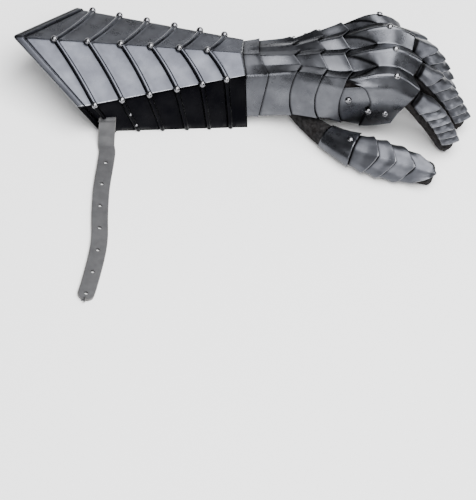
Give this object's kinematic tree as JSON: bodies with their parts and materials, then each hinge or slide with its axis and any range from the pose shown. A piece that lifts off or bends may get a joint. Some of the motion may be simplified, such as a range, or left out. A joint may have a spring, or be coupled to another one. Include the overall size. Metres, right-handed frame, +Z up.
{
  "type": "armoured gauntlet",
  "caption": "Left-hand steel gauntlet with a long pointed cuff, fluted lames, scaled fingers, a leather glove and buckled straps, lying palm down.",
  "frame": {"origin": "the floor below the middle of the whole's bounding box", "axes": "+X along the gauntlet from the cuff's point to the fingertips, +Z up, +Y towards the little finger's side"},
  "size_m": [0.447, 0.3408, 0.0969],
  "materials": {
    "blackened_steel": "blackened and satin, with bright worn edges",
    "bright_steel": "polished",
    "black_suede": "suede, mottled with brown dust",
    "grey_leather": "smooth",
    "nickel": "nickel plated"
  },
  "bodies": {
    "gauntlet": {"buckle_tab": "grey_leather", "cuff_plate": "blackened_steel", "forearm_strap": "grey_leather", "glove_cuff": "black_suede", "glove_hand": "black_suede", "glove_index": "black_suede", "glove_little": "black_suede", "glove_middle": "black_suede", "glove_ring": "black_suede", "glove_thumb": "black_suede", "hand_lame_1": "blackened_steel", "hand_lame_2": "blackened_steel", "index_scale_1": "blackened_steel", "index_scale_2": "blackened_steel", "index_scale_3": "blackened_steel", "index_scale_4": "blackened_steel", "index_scale_5": "blackened_steel", "index_scale_6": "blackened_steel", "knuckle_plate": "blackened_steel", "knuckle_rivet_1": "bright_steel", "knuckle_rivet_2": "bright_steel", "knuckle_rivet_3": "bright_steel", "knuckle_rivet_4": "bright_steel", "little_scale_1": "blackened_steel", "little_scale_2": "blackened_steel", "little_scale_3": "blackened_steel", "little_scale_4": "blackened_steel", "little_scale_5": "blackened_steel", "middle_scale_1": "blackened_steel", "middle_scale_2": "blackened_steel", "middle_scale_3": "blackened_steel", "middle_scale_4": "blackened_steel", "middle_scale_5": "blackened_steel", "middle_scale_6": "blackened_steel", "palm_strap": "grey_leather", "panel_rivet_1": "bright_steel", "panel_rivet_2": "bright_steel", "ring_scale_1": "blackened_steel", "ring_scale_2": "blackened_steel", "ring_scale_3": "blackened_steel", "ring_scale_4": "blackened_steel", "ring_scale_5": "blackened_steel", "ring_scale_6": "blackened_steel", "side_lame_little": "blackened_steel", "side_lame_rivet": "bright_steel", "side_lame_thumb": "blackened_steel", "strap_rivet": "nickel", "tab_rivet": "nickel", "thumb_base_plate": "blackened_steel", "thumb_rivet": "bright_steel", "thumb_scale_1": "blackened_steel", "thumb_scale_2": "blackened_steel", "thumb_scale_3": "blackened_steel", "thumb_scale_4": "blackened_steel", "wrist_lame_1": "blackened_steel", "wrist_lame_2": "blackened_steel"},
    "buckle": {"buckle_frame": "nickel"},
    "prong": {"buckle_prong": "nickel"}
  },
  "joints": [
    {"name": "buckle_hinge", "type": "hinge", "parent": "gauntlet", "child": "buckle", "pos_m": [-0.12852, 0.13949, 0.0043], "axis": [-1, 0, 0], "range_deg": [0, 50]},
    {"name": "prong_hinge", "type": "hinge", "parent": "buckle", "child": "prong", "pos_m": [-0.12852, 0.13949, 0.0043], "axis": [-1, 0, 0], "range_deg": [0, 60]}
  ]
}
